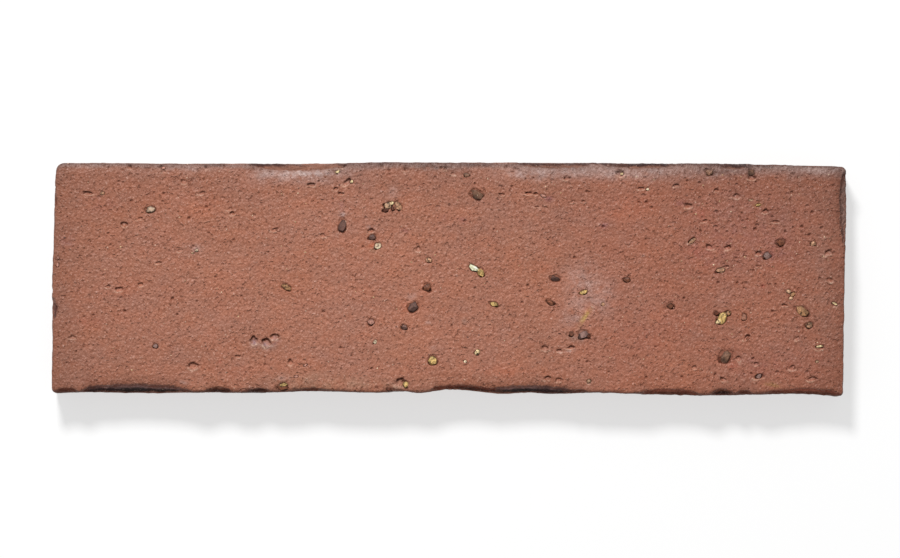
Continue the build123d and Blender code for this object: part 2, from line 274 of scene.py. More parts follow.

# Stains, and painted sheen and shade along the head: centre across and down, length, width, turn
# anticlockwise, strength and colour
stains_px = [
    (583, 284, 40, 46, -30, 0.32, "bloom"), (574, 316, 34, 26, 40, 0.2, "bloom"),
    (600, 301, 28, 34, 0, 0.22, "bloom"), (584.8, 317, 19, 4.5, 58, 1, "yellow"),
    (588, 309, 12, 8, 60, 0.25, "orange"), (371.6, 245.6, 6, 7, 0, 0.9, "orange"),
    (547, 267, 16, 12, 0, 0.18, "orange"), (405, 307.6, 6, 11, 10, 0.55, "orange"),
    (374, 251, 9, 4, -20, 0.4, "olive"), (342.4, 214.8, 8, 4, 0, 0.55, "bloom"),
    (341.4, 205, 5, 16, 0, 0.35, "purple"), (371, 226.8, 8, 3, 0, 0.6, "bloom"),
    (443.8, 217.4, 12, 7, 0, 0.35, "purple"), (405.8, 231, 10, 5, 0, 0.45, "purple"),
    (604, 225.6, 9, 6, 10, 0.45, "purple"), (463.6, 219.6, 10, 7, 0, 0.35, "purple"),
    (549, 198.6, 10, 6, 10, 0.65, "purple"), (465.8, 322, 13, 8, 0, 0.4, "grey"),
    (394, 193, 18, 12, 0, 0.22, "bloom"), (411.6, 297, 10, 8, 20, 0.28, "bloom"),
    (432, 348.6, 11, 9, 0, 0.1, "bloom"), (283, 378.6, 14, 6, 0, 0.45, "bloom"),
    (185, 382.4, 13, 4, -10, 0.45, "bloom"), (577, 338, 22, 12, 10, 0.5, "grey"),
    (267, 346.6, 22, 8, -8, 0.35, "grey"), (772.4, 384.6, 14, 4, -10, 0.5, "yellow"),
    (757.6, 205, 10, 4, 10, 0.35, "yellow"), (681, 202.6, 12, 6, 20, 0.4, "purple"),
    (100, 205, 40, 22, 10, 0.14, "purple"), (66.6, 242, 14, 12, 0, 0.28, "purple"),
    (748, 232, 110, 90, 0, 0.16, "purple"), (706, 254, 70, 46, 20, 0.15, "purple"),
    (776, 255, 44, 26, 0, 0.2, "purple"), (723, 300, 40, 24, 20, 0.05, "bloom"),
    # Along the head, from about 167 to 179 pixels down, the pale rows are painted sheen on its roll, and the
    # grey and dark rows painted shade
    (752, 366, 60, 26, 0, 0.16, "purple"), (590, 172, 120, 14, 0, 0.28, "bloom"),
    (296, 173.6, 92, 8, 0, 0.75, "bloom"), (296, 179, 100, 12, 0, 0.28, "bloom"),
    (640, 174, 110, 14, 0, 0.22, "bloom"), (530, 173.5, 66, 15, 0, 0.36, "bloom"),
    (815, 170, 60, 7, -6, 0.26, "bloom"), (770, 170, 50, 9, 0, 0.12, "bloom"),
    (190, 169, 60, 6, 0, 0.3, "bloom"), (92, 167, 60, 4, 0, 0.16, "bloom"),
    (430, 167, 110, 6, 0, 0.26, "grey"), (425, 167, 128, 8, 0, 0.45, "dusk"),
    (718, 171.6, 56, 9, 0, 0.5, "dusk"), (552, 167, 60, 5, 0, 0.35, "dusk"),
    (824, 290, 26, 120, 0, 0.14, "grey"), (115, 292, 60, 16, 10, 0.12, "orange"),
    (92, 322, 60, 12, 0, 0.14, "red"), (630, 205, 80, 26, 10, 0.16, "orange"),
    (655, 330, 90, 40, 10, 0.1, "red"), (795, 365, 70, 36, 0, 0.12, "red"),
    (195, 200, 70, 30, -10, 0.1, "orange"), (240, 372, 90, 14, 0, 0.1, "orange"),
    (506, 372, 90, 12, 0, 0.14, "orange"), (220.9, 361.6, 5, 4, 0, 0.6, "red"),
    (762.9, 285.8, 4, 4, 0, 0.6, "red"), (377.8, 386, 7, 4, 0, 0.4, "red"),
    (427.3, 322.6, 6, 4, 0, 0.35, "bloom"), (196, 249, 12, 9, 0, 0.3, "bloom"),
    (330, 384.5, 170, 13, 0, 0.4, "sandy"), (315, 380, 120, 17, 0, 0.3, "sandy"),
    (253.8, 342.6, 7, 9, 10, 0.8, "slate"), (266.6, 345, 8, 9, 30, 0.8, "slate"),
    (275, 340, 8, 9, 0, 0.75, "slate"), (571, 350.6, 9, 3, 10, 0.7, "bloom"),
    (559.6, 352.6, 5, 3, 0, 0.5, "bloom"), (700, 215, 20, 14, 0, 0.22, "red"),
    (696, 252, 18, 10, 0, 0.26, "red"), (733, 367, 8, 9, 0, 0.35, "red"),
]
stain_colours = pigments({
    "bloom": (200, 176, 170), "grey": (140, 124, 116), "purple": (138, 92, 96),
    "orange": (196, 104, 72), "red": (176, 92, 78), "yellow": (196, 164, 92),
    "olive": (120, 104, 72), "slate": (140, 112, 114), "dusk": (92, 74, 70),
    "sandy": (164, 128, 108),
})

# How far out each kind of mark works, as a share of its own reach
seat_reach = 1.9
scoop_reach = 1.8
pit_reach = 1.6
stain_reach = 2.2
# Round a stone: how deep the gap is, how much deeper on the foot side, and how high its soft rim
seat_depth = 0.34
seat_low_side = 0.35
seat_rim = 0.03
# How strong the painted shade in the gap is, and how much stronger on the foot side
seat_shade = 0.38
seat_low_shade = 0.6
# A scoop's floor against the depth in the table, its rim's height, and how strong its painted shade and its
# lip's painted highlight are
scoop_floor = 1.5
scoop_rim = 0.08
scoop_shade = 0.84
lip_highlight_strength = 0.60
# How much painted light brightens its floor
scoop_floor_light = 0.18
# A pit's depth against half its width, and how strong its painted shade on the head side is
pit_floor = 0.9
pit_shade = 0.62

# Rough parts of the face, with more small hollows: centre across and down, length, width, turn, strength
rough_px = [
    (750, 225, 190, 110, -20, 0.9), (730, 172, 110, 16, 0, 0.9), (390, 210, 120, 90, -20, 0.5),
    (500, 190, 150, 50, 0, 0.5), (150, 200, 160, 60, 0, 0.5), (770, 370, 120, 40, 0, 0.7),
    (640, 195, 90, 40, 0, 0.5), (570, 320, 80, 80, 0, 0.5), (800, 300, 60, 80, 0, 0.5),
    (130, 290, 90, 40, 10, 0.3), (560, 370, 60, 40, 0, 0.4), (310, 190, 70, 40, 0, 0.4),
]
rough_least = 0.25

# Dark lines of painted shade on the two long arrises: first and last pixel, width in millimetres, and
# strength
arris_shade_px = {
    "head": [
        (60, 204, 0.5, 0.35), (204, 226, 0.8, 0.50), (248, 284, 0.7, 0.85), (282, 302, 0.6, 0.55),
        (336, 352, 0.7, 0.60), (352, 462, 0.5, 0.50), (380, 392, 0.8, 0.40), (462, 492, 1.3, 0.45),
        (516, 548, 0.7, 0.80), (548, 610, 0.6, 0.75), (606, 634, 1.1, 0.70), (628, 670, 0.8, 0.95),
        (668, 706, 0.6, 0.60), (706, 734, 1.0, 0.70), (728, 750, 1.1, 0.90), (750, 774, 1.0, 0.60),
        (774, 842, 0.5, 0.40),
    ],
    "foot": [
        (56, 84, 1.2, 0.45), (84, 120, 2.0, 0.50), (190, 290, 1.2, 0.55), (243, 262, 1.4, 0.60),
        (536, 564, 1.8, 0.70), (288, 350, 1.1, 0.50), (350, 384, 0.7, 0.35), (382, 400, 1.2, 0.60),
        (400, 432, 0.8, 0.35), (570, 600, 0.9, 0.45), (600, 640, 0.7, 0.30), (636, 704, 1.2, 0.40),
        (704, 780, 1.1, 0.50), (776, 842, 1.0, 0.40),
    ],
}
arris_shade_colour = pigment(56, 38, 34)
# The heights over which the painted shade fades in up the wall
arris_shade_fade = (7, 12)

# A grey band of painted sheen and shade along the head's arris: places in the picture, and its width there
# in millimetres
head_sheen_px = [52, 130, 160, 240, 262, 350, 380, 500, 520, 600, 700, 760, 846]
head_sheen_widths = [1.0, 1.0, 1.8, 1.4, 3.4, 3.4, 1.8, 1.8, 3.2, 4.6, 5.0, 3.6, 3.4]
head_sheen_colour = pigment(132, 113, 108)
# How strong the painted sheen and shade are, and the heights over which they fade in up the wall
head_sheen_strength = 0.62
head_sheen_fade = (9, 12)
# How much darker the clay is on the roll along the head
head_shading = 0.12

# Broken arrises: the first and last pixel along the edge, and the kind of break
breaks_px = {
    "foot": [
        (55, 79, "umber"), (82, 193, "aubergine"), (201, 236, "coal"), (246, 275, "coal"),
        (286, 350, "umber"), (372, 398, "umber"), (428, 500, "pitch"), (500, 572, "aubergine"),
        (572, 596, "coal"), (636, 704, "liver"), (710, 736, "coal"), (736, 756, "umber"),
        (757, 842, "liver"),
    ],
    "head": [(250, 345, "russet"), (517, 594, "scorch"), (597, 676, "scorch"), (718, 750, "scorch")],
    "right": [(168, 256, "ash")],
    "left": [(172, 228, "umber"), (303, 321, "notch")],
}
# The share of the full light that falls on the breaks of each edge, which slope away from the lamp or to it
break_light = {"foot": 0.31, "right": 0.52, "head": 1.15, "left": 0.80}
# Kinds of break: the colours, as they look in the picture, of the inner rim, a darker line partly of painted
# shadow, the inside and the outer part, whose darkest colours at the foot are partly the break's own dark
# core and partly painted shade, how strong the first and last are, the share of the width that the outer
# part takes, and how much and how far in millimetres painted shade darkens the clay towards the break
break_kinds = {
    "liver": ((92, 50, 40), (108, 66, 54), (66, 36, 28), 0.80, 0.85, 0.45, 0.16, 0.9),
    "umber": ((98, 58, 46), (84, 50, 40), (72, 42, 34), 0.70, 0.60, 0.45, 0.20, 1.0),
    "aubergine": ((80, 50, 42), (92, 70, 67), (24, 12, 10), 0.90, 0.98, 0.62, 0.34, 2.4),
    "pitch": ((78, 42, 33), (58, 34, 28), (28, 16, 14), 0.85, 0.95, 0.55, 0.34, 2.6),
    "coal": ((92, 56, 44), (58, 36, 28), (30, 18, 15), 0.85, 0.90, 0.65, 0.30, 1.6),
    "russet": ((138, 96, 82), (150, 108, 93), (142, 108, 97), 0.30, 0.30, 0.45, 0.10, 0.9),
    "scorch": ((130, 96, 85), (144, 105, 92), (118, 86, 76), 0.40, 0.60, 0.45, 0.14, 1.2),
    "ash": ((70, 42, 36), (114, 88, 80), (120, 94, 86), 0.90, 0.30, 0.45, 0.20, 1.2),
    "notch": ((76, 48, 42), (112, 82, 76), (122, 92, 84), 0.85, 0.30, 0.45, 0.20, 0.8),
}
# How far a break falls for each millimetre that it reaches in, and how far in breaks are looked for
break_fall = 1.6
break_band = 5.5

clay_colour = pigment(165, 112, 93)
dust_colour = pigment(186, 136, 116)
# How bright the clay is along the face, from its left end to its right, and from its head to its foot,
# partly its own tone and partly painted falloff of the light
tone_px = [52, 62, 84, 112, 150, 250, 360, 480, 600, 700, 780, 815, 830, 846]
tones_and_light = [0.88, 0.92, 0.965, 0.985, 1.01, 1.025, 1.035, 1.02, 1.0, 0.975, 0.95, 0.93, 0.905, 0.85]
down_px = [160, 168, 182, 200, 240, 320, 376, 392]
down_tones_and_light = [0.925, 0.93, 0.94, 0.965, 0.985, 1.0, 0.99, 0.97]
# Towards its right end the clay is redder: where that starts and is full, and the change of each colour
redder_px = (520, 640)
redder = np.array([0.01, -0.045, -0.055])
# How the clay's red, green and blue drift against each other from place to place
hue_swing = np.array([0.5, -0.25, -1.25])
# How much more of each of red, green and blue the painted shade takes from the hollows
shade_tint = np.array([0.92, 1.0, 1.04])

# The skin lies a little below the solid's face, so that its waves hardly rise above the box
skin_level = -0.08

# How deep the torn spots of the long walls and the back are, and the plucked ones of the cut ends
torn_depth = 0.22
plucked_depth = 0.30

# How the mesh of the slip is spaced, and how far inside the box the rings round the face begin
core_inset = 4.0
ring_count = 8
station_spacing = 0.55
face_spacing = 0.70
corner_bend = 8.0
# Each mark has a finer mesh, this many times its own reach and this much wider
detail_spacing = 0.23
detail_reach = 1.35
detail_margin = 0.25

# Rings down the wall: their heights, and how many stations of the face's rings go to one of theirs
wall_rings = [(9.0, 2), (8.0, 2), (7.0, 2), (6.0, 2), (5.0, 2), (4.0, 2), (3.0, 4)]
# The rings below them, which the ends leave to the grooves: their heights, and how far they are taken in
low_rings = [(2.2, 0.0), (1.4, 0.0), (0.6, 0.0), (0.25, 0.2), (0.0, 0.6)]
back_arris = 0.6

# The keying grooves, as they are in the solid
groove_count = 6
groove_pitch = 11.0
groove_mouth = 4.2
groove_root = 5.2
groove_depth = 1.5
groove_centres = [(number - (groove_count - 1) / 2) * groove_pitch for number in range(groove_count)]
# Shares of a rib's width at which the mesh has a row, between two grooves and beside the outer ones
rib_shares = [0.08, 0.25, 0.5, 0.75, 0.92]
outer_rib_shares = rib_shares[1:]

# The whole arris and the rolls beside it, from which a break is told: width and drop of each roll,
# and how far below them the skin has to lie
arris_radius = 1.1
rolls = {"foot": (3.2, 0.45), "right": (6.0, 0.7), "head": (4.6, 0.75), "left": (2.6, 0.4)}
break_start = 0.05
break_full = 0.26


class Shell:
    """The points, faces and colours of a mesh while it is built, all in millimetres."""

    def __init__(self):
        self.blocks = []
        self.count = 0
        self.faces = []
        self.colours = []

    def add(self, places):
        """Adds points and gives their numbers."""
        places = np.asarray(places, float).reshape(-1, 3)
        numbers = np.arange(self.count, self.count + len(places))
        self.blocks.append(places)
        self.count += len(places)
        return numbers

    def drop(self, places, faces, colour):
        """Adds a closed stone, with one colour or a colour for each point."""
        self.faces += (faces + self.add(places)[0]).tolist()
        self.colours.append(np.broadcast_to(colour, places.shape))

    def band(self, upper, lower, closed=True):
        """Faces between two lines of points that run anticlockwise seen from above."""
        if closed:
            upper, lower = np.append(upper, upper[0]), np.append(lower, lower[0])
        self.faces += np.stack([upper[:-1], lower[:-1], lower[1:], upper[1:]], axis=1).tolist()

    def halving_band(self, upper, lower):
        """Faces between a closed ring and one with half as many points below it."""
        after = np.append(upper[2::2], upper[0])
        below = np.append(lower[1:], lower[0])
        for corners in ([upper[::2], lower], [lower, below], [below, after]):
            self.faces += np.stack([*corners, upper[1::2]], axis=1).tolist()

    def fill(self, loop, flat_loop, flat_inner, place_inner, facing):
        """Triangles inside a closed loop, with inner points, worked out on a flat drawing of it."""
        numbers = np.concatenate([loop, self.add(place_inner)])
        flat = np.concatenate([flat_loop, flat_inner])
        edges = [(i, (i + 1) % len(loop)) for i in range(len(loop))]
        result = geometry.delaunay_2d_cdt([Vector(p) for p in flat.tolist()], edges, [], 1, 1e-6)
        sources = [int(numbers[origin[0]]) for origin in result[3]]
        for face in result[2]:
            a, b, c = (result[0][i] for i in face)
            turn = (b[0] - a[0]) * (c[1] - a[1]) - (b[1] - a[1]) * (c[0] - a[0])
            self.faces.append([sources[i] for i in (face if turn * facing > 0 else face[::-1])])

    def points(self):
        return np.concatenate(self.blocks)


cad_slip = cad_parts[slip_node]
cad_tree = BVHTree.FromPolygons(
    [vertex.co / mm for vertex in cad_slip.data.vertices],
    [tuple(polygon.vertices) for polygon in cad_slip.data.polygons],
)


def cast(starts, directions):
    """Where lines that start inside the CAD slip reach its surface."""
    return np.array([cad_tree.ray_cast(Vector(s), Vector(d))[0] for s, d in zip(starts, directions)])


def at_height(flat, height):
    """Points of the plane, all at one height."""
    return np.column_stack([flat, np.full(len(flat), height)])


def cast_up(flat):
    """The places of the CAD face above points of the plane."""
    return cast(at_height(flat, high[2] - core_inset), np.tile([0.0, 0.0, 1.0], (len(flat), 1)))


def side_stations(start, end):
    """Places along one side of the box, and where the face's own mesh meets them."""
    count = 4 * round((end - start) / station_spacing / 4)
    outer = np.linspace(start, end, count + 1)
    from_end = np.minimum(outer - start, end - outer)
    inwards = np.sign((start + end) / 2 - outer)
    return outer, outer + inwards * core_inset * np.exp(-from_end / corner_bend)


def loop_of(x_places, y_places, x_ends, y_ends):
    """A closed line, anticlockwise from the foot's left end, round a rectangle."""
    foot, right = x_places[:-1], y_places[:-1]
    head, left = x_places[:0:-1], y_places[:0:-1]
    x = np.concatenate([foot, np.full(len(right), x_ends[1]), head, np.full(len(left), x_ends[0])])
    y = np.concatenate([np.full(len(foot), y_ends[0]), right, np.full(len(head), y_ends[1]), left])
    return np.column_stack([x, y])


def hex_points(x_range, y_range, spacing):
    """Points of an even triangular pattern over a rectangle."""
    row_height = spacing * math.sqrt(3) / 2
    rows = np.arange(y_range[0], y_range[1], row_height)
    columns = np.arange(x_range[0], x_range[1], spacing)
    x, y = np.meshgrid(columns, rows)
    x = x + (np.arange(len(rows)) % 2)[:, None] * spacing / 2
    return np.stack([x.ravel(), y.ravel()], axis=1)


class Mark:
    """One irregular oval place on the face: a stone's seat, a scoop, a pit or a stain."""

    def __init__(self, number, x_px, y_px, long_px, wide_px, turn):
        self.x, self.y = from_picture(x_px, y_px)
        self.a = long_px / px_per_mm / 2
        self.b = wide_px / px_per_mm / 2
        self.turn = math.radians(turn) + picture_turn
        draw = np.random.default_rng(number)
        self.wobbles = draw.uniform(0.03, 0.11, 3)
        self.phases = draw.uniform(0, 2 * math.pi, 3)
        self.reach = max(self.a, self.b)
        self.rise = math.hypot(self.a * math.sin(self.turn), self.b * math.cos(self.turn))

    def spread(self, places):
        """0 at the centre of the mark and 1 on its rim, and the same from foot to head, from -1 to 1."""
        dx, dy = places[:, 0] - self.x, places[:, 1] - self.y
        lengthwise, crosswise = turned(dx, dy, -self.turn)
        u, v = lengthwise / self.a, crosswise / self.b
        wobbles = zip((2, 3, 4), self.wobbles, self.phases)
        rim = 1 + sum(size * np.sin(waves * np.arctan2(v, u) + phase) for waves, size, phase in wobbles)
        return np.hypot(u, v) / rim, dy / self.rise

    def around(self, places, share):
        """The numbers of the points within that many times the mark's reach, and their spread."""
        far = self.reach * share
        near = np.flatnonzero((abs(places[:, 0] - self.x) < far) & (abs(places[:, 1] - self.y) < far))
        return near, *self.spread(places[near])


def marks_of(rows, first_seed):
    """The mark of each row of a table, with a seed of its own, and what else the row says of it."""
    return [(Mark(first_seed + number, *row[:5]), *row[5:]) for number, row in enumerate(rows)]


stone_marks = marks_of(stones_px, 100)
scoop_marks = marks_of(scoops_px, 300)
pit_marks = marks_of([(x, y, width, width * pit_roundness, pit_turn) for x, y, width in pits_px], 500)
stain_marks = marks_of(stains_px, 700)
rough_marks = marks_of(rough_px, 800)


def farther(points, mark, distance):
    """The points that lie farther than that from the centre of a mark."""
    return points[np.hypot(points[:, 0] - mark.x, points[:, 1] - mark.y) > distance]


def face_points(x_ends, y_ends):
    """Points for the inside of the face: an even pattern, and a finer one at each mark."""
    keep_off = station_spacing * 0.6
    lowest, highest = np.array([x_ends, y_ends]).T + [[keep_off], [-keep_off]]
    coarse = hex_points((lowest[0], highest[0]), (lowest[1], highest[1]), face_spacing)
    coarse += np.random.default_rng(5).uniform(-0.12, 0.12, coarse.shape) * face_spacing
    blocks = []
    taken = []
    for mark, *_ in stone_marks + scoop_marks + pit_marks:
        far = mark.reach * detail_reach + detail_margin
        here = hex_points((mark.x - far, mark.x + far), (mark.y - far, mark.y + far), detail_spacing)
        here = here[np.hypot(here[:, 0] - mark.x, here[:, 1] - mark.y) < far]
        here = here[((here > lowest) & (here < highest)).all(axis=1)]
        for other, radius in taken:
            here = farther(here, other, radius + detail_spacing / 2)
        taken.append((mark, far))
        blocks.append(here)
        coarse = farther(coarse, mark, far + detail_spacing)
    return np.concatenate([coarse, *blocks])


def groove_profile():
    """The back's section between the outer lips of the first and the last groove: pairs of y and z."""
    half_mouth, half_root = groove_mouth / 2, groove_root / 2
    soft = 0.35
    half_groove = [
        (-half_mouth, 0.0), (-half_mouth - 0.15, 0.35), (-half_mouth - 0.33, 0.9),
        (-half_root, groove_depth - soft), (-half_root + 0.12, groove_depth - 0.1),
        (-half_root + soft, groove_depth), (-0.8, groove_depth),
    ]
    one_groove = half_groove + [(-y, z) for y, z in half_groove[::-1]]
    section = []
    for centre in groove_centres:
        if section:
            rib_start = section[-1][0]
            rib_width = centre - half_mouth - rib_start
            section += [(rib_start + rib_width * share, 0.0) for share in rib_shares]
        section += [(centre + y, z) for y, z in one_groove]
    return section


def end_x(y, z, ring_points):
    """Where an end wall lies at a height, less the back's arris."""
    order = np.argsort(ring_points[:, 1])
    x = np.interp(y, ring_points[order, 1], ring_points[order, 0])
    return x - np.sign(x) * np.maximum(0, back_arris - z)


def end_inner_points(flat_loop):
    """Points inside the low part of an end wall, clear of its edges and of the grooves."""
    clear = 0.45
    y_low, y_high = flat_loop[:, 0].min() + clear, flat_loop[:, 0].max() - clear
    points = hex_points((y_low, y_high), (0.35, wall_rings[-1][0] - clear), 0.7)
    for centre in groove_centres:
        beside = abs(points[:, 0] - centre) >= groove_root / 2 + clear
        points = points[beside | (points[:, 1] >= groove_depth + clear)]
    return points


def build_slip_shell():
    """The slip's closed mesh before its relief, wrapped round the CAD solid."""
    shell = Shell()
    x_outer, x_inner = side_stations(low[0], high[0])
    y_outer, y_inner = side_stations(low[1], high[1])
    x_ends = (low[0] + core_inset, high[0] - core_inset)
    y_ends = (low[1] + core_inset, high[1] - core_inset)
    inner = loop_of(x_inner, y_inner, x_ends, y_ends)
    outwards = loop_of(x_outer, y_outer, (low[0], high[0]), (low[1], high[1])) - inner
    bases = at_height(inner, high[2] - core_inset)

    # Rings from the face over the arris and down to the wall
    steps = [(k + 1) / ring_count for k in range(ring_count)]
    directions = [(0.0, 1.0), *((step, 1.0) for step in steps), *((1.0, 1 - step) for step in steps)]
    rings = []
    for out_share, up_share in directions:
        rings.append(shell.add(cast(bases, at_height(outwards * out_share, core_inset * up_share))))
    for above, below in zip(rings[:-1], rings[1:]):
        shell.band(above, below)

    # The face inside the rings
    places = face_points(x_ends, y_ends)
    shell.fill(rings[0], inner, places, cast_up(places), 1)

    # The wall, with half and then a quarter of the stations
    outline = shell.points()[rings[-1]][:, :2]

    def wall_ring(height, inset, step):
        return shell.add(at_height((outline - unit(outwards) * inset)[::step], height))

    above, step_above = rings[-1], 1
    for height, step in wall_rings:
        below = wall_ring(height, 0, step)
        (shell.band if step == step_above else shell.halving_band)(above, below)
        above, step_above = below, step
    last_full = above
    low_parts = [wall_ring(height, inset, step_above) for height, inset in low_rings]

    # Below the last whole ring only the foot and the head go on down
    columns = (len(x_outer) - 1) // step_above
    rows = (len(y_outer) - 1) // step_above
    corner_1, corner_2, corner_3 = columns, columns + rows, 2 * columns + rows
    foot = slice(0, corner_1 + 1)
    head = slice(corner_2, corner_3 + 1)
    for above, below in zip([last_full, *low_parts[:-1]], low_parts):
        shell.band(above[foot], below[foot], closed=False)
        shell.band(above[head], below[head], closed=False)

    # The back, row by row from the foot to the head
    points = shell.points()
    foot_line = points[low_parts[-1][foot]]
    head_line = points[low_parts[-1][head]][::-1]
    along = (foot_line[:, 0] - foot_line[0, 0]) / (foot_line[-1, 0] - foot_line[0, 0])
    left_numbers = np.append(last_full[corner_3:], last_full[0])
    left_ring, right_ring = points[left_numbers], points[last_full[corner_1 : corner_2 + 1]]
    section = groove_profile()

    def rib_row(edge, lip, share):
        return edge[:, 1] + (lip - edge[:, 1]) * share, 0.0

    back_rows = [rib_row(foot_line, section[0][0], share) for share in outer_rib_shares]
    back_rows += [(np.full(len(along), y), z) for y, z in section]
    back_rows += [rib_row(head_line, section[-1][0], share) for share in outer_rib_shares[::-1]]
    grid = [low_parts[-1][foot]]
    for y, z in back_rows:
        x_left, x_right = end_x(y[0], z, left_ring), end_x(y[-1], z, right_ring)
        grid.append(shell.add(np.column_stack([x_left + along * (x_right - x_left), y, np.full(len(y), z)])))
    grid.append(low_parts[-1][head][::-1])
    for here, there in zip(grid[:-1], grid[1:]):
        shell.faces += np.stack([here[:-1], there[:-1], there[1:], here[1:]], axis=1).tolist()

    # The low part of each end wall, which the grooves notch
    points = shell.points()
    bottom_right = [line[-1] for line in grid[::-1]]
    bottom_left = [line[0] for line in grid]
    ends = [
        (last_full[corner_1 : corner_2 + 1], corner_2, bottom_right, corner_1, right_ring, 1),
        (left_numbers, 0, bottom_left, corner_3, left_ring, -1),
    ]
    for top, down_corner, bottom, up_corner, ring_points, facing in ends:
        down = [part[down_corner] for part in low_parts[:-1]]
        upwards = [part[up_corner] for part in low_parts[-2::-1]]
        loop = np.concatenate([top, down, bottom, upwards]).astype(int)
        flat_loop = points[loop][:, 1:]
        inner_flat = end_inner_points(flat_loop)
        x = end_x(inner_flat[:, 0], inner_flat[:, 1], ring_points)
        shell.fill(loop, flat_loop, inner_flat, np.column_stack([x, inner_flat]), facing)
    return shell, Edges(outline, len(x_outer) - 1, len(y_outer) - 1)


def point_normals(points, faces):
    """The average direction of the faces round each point."""
    threes = np.array([f for f in faces if len(f) == 3])
    fours = np.array([f for f in faces if len(f) == 4])
    triangles = np.concatenate([threes, fours[:, [0, 1, 2]], fours[:, [0, 2, 3]]])
    a, b, c = (points[triangles[:, k]] for k in range(3))
    face = np.cross(b - a, c - a)
    total = np.zeros_like(points)
    for k in range(3):
        np.add.at(total, triangles[:, k], face)
    return unit(total)


class Edges:
    """How far points lie inside the slip's uneven outline, edge by edge."""

    def __init__(self, outline, columns, rows):
        closed = np.append(outline, outline[:1], axis=0)
        stops = np.cumsum([0, columns, rows, columns, rows])
        names = ["foot", "right", "head", "left"]
        self.lines = {name: closed[a : b + 1] for name, a, b in zip(names, stops[:-1], stops[1:])}

    def inside(self, name, points):
        """The distance to one edge, which is positive inside the slip."""
        line = self.lines[name]
        along, across = (0, 1) if name in ("foot", "head") else (1, 0)
        order = np.argsort(line[:, along])
        edge = np.interp(points[:, along], line[order, along], line[order, across])
        return (edge - points[:, across]) * (1 if name in ("head", "right") else -1)

    def nearest(self, points):
        return np.maximum(0, np.min([self.inside(name, points) for name in self.lines], axis=0))


def whole_height(points, from_edge):
    """The height that the face has where nothing is broken off."""
    within = np.clip(from_edge, 0, arris_radius)
    whole = high[2] - arris_radius + np.sqrt(arris_radius**2 - (arris_radius - within) ** 2)
    from_box = {
        "foot": points[:, 1] - low[1], "right": high[0] - points[:, 0],
        "head": high[1] - points[:, 1], "left": points[:, 0] - low[0],
    }
    for name, (width, drop) in rolls.items():
        radius = (width**2 + drop**2) / (2 * drop)
        whole = np.minimum(whole, high[2] - np.maximum(0, width - from_box[name]) ** 2 / (2 * radius))
    return whole


def blend(colour, where, aim, share):
    """Takes the colours at those points that share of the way to another colour."""
    colour[where] += (aim - colour[where]) * share[:, None]


def paint_shade(colour, where, share):
    """Paints shade: takes that share of their light from the colours at those points."""
    colour[where] *= 1 - share[:, None] * shade_tint


def skin_relief(points):
    """The face's own waves and lumps, without the marks in it."""
    waves = noises(points, (0.10, 34, 21), (0.06, 12, 22, (1.5, 1, 1)))
    lumps = noises(points, (0.055, 4.6, 23, (1.4, 1, 1)), (0.045, 2.1, 24, (1.5, 0.9, 1)))
    return waves + lumps + skin_level


def press_stones(points, relief, colour, matt):
    """The stones' seats: each a narrow gap with painted shade, deepest and most shaded below its stone."""
    for mark, proud, _ in stone_marks:
        near, spread, rise = mark.around(points, seat_reach)
        seat = 1 - ramp(spread, 1.02, 1.28)
        lower_side = ramp(-rise, -0.3, 0.8)
        uneven = 0.6 + 0.9 * noise(points[near], 0.8, 49)
        depth = seat_depth + seat_low_side * lower_side + max(0, -proud)
        relief[near] += seat_rim * bell(spread, 1.45, 0.2) - seat * depth
        paint_shade(colour, near, np.clip(seat * (seat_shade * uneven + seat_low_shade * lower_side), 0, 0.9))
        matt[near] = np.maximum(matt[near], seat)


def press_scoops(points, relief, colour, matt):
    """Hollows whose head side is a steep wall in painted shade, and whose floor rises to the foot side, with
    painted light on the floor and a painted highlight on the lip.
    """
    for mark, depth in scoop_marks:
        near, spread, rise = mark.around(points, scoop_reach)
        uneven = np.clip(1 + 0.9 * noise(points[near], 0.7, 50), 0.25, 1.5)
        hollow = (1 - ramp(spread, 0.62, 1.05)) * ramp(rise, -1.15, 0.55)
        shaded_wall = bell(spread, 0.82, 0.27) * ramp(rise, -0.5, 0.45) * uneven
        floor = (1 - ramp(spread, 0.6, 1.1)) * ramp(-rise, -0.1, 0.5) * uneven
        lip = bell(spread, 1.12, 0.22) * ramp(-rise, 0.2, 0.9) * uneven
        relief[near] += scoop_rim * bell(spread, 1.2, 0.22) * ramp(-rise, 0.1, 0.8)
        relief[near] -= scoop_floor * depth * hollow
        # Painted shade on the steep wall at the head side
        paint_shade(colour, near, np.clip(scoop_shade * shaded_wall * min(1, depth / 0.45), 0, 0.92))
        # Painted light on the floor, and a painted highlight on the lip
        colour[near] *= 1 + scoop_floor_light * floor[:, None]
        blend(colour, near, lip_highlight_colour, lip_highlight_strength * lip)
        matt[near] = np.maximum(matt[near], shaded_wall)


def press_pits(points, relief, colour, matt):
    """Small round pits, with painted shade on their head side."""
    for (mark,) in pit_marks:
        near, spread, rise = mark.around(points, pit_reach)
        hollow = 1 - ramp(spread, 0.35, 1.1)
        relief[near] -= pit_floor * mark.b * hollow
        paint_shade(colour, near, pit_shade * hollow * ramp(rise, -0.9, 0.3))
        matt[near] = np.maximum(matt[near], hollow)


def stain(points, colour):
    """Lays the stains' colours, and the painted sheen and shade along the head, on the face, softly and
    unevenly.
    """
    patches = np.clip(0.8 + noises(points, (0.9, 1.9, 31), (0.7, 0.75, 32)), 0, 1.8)
    for mark, strength, kind in stain_marks:
        near, spread, _ = mark.around(points, stain_reach)
        share = strength * np.exp(-1.4 * spread**2) * patches[near]
        blend(colour, near, stain_colours[kind], np.clip(share, 0, 1))


def roughness_of(points):
    """How strewn with small hollows each point of the face is, from 0 to 1."""
    share = np.full(len(points), rough_least)
    for mark, strength in rough_marks:
        spread, _ = mark.spread(points)
        share += (1 - share) * strength * np.exp(-1.2 * spread**2)
    return np.clip(share, 0, 1)


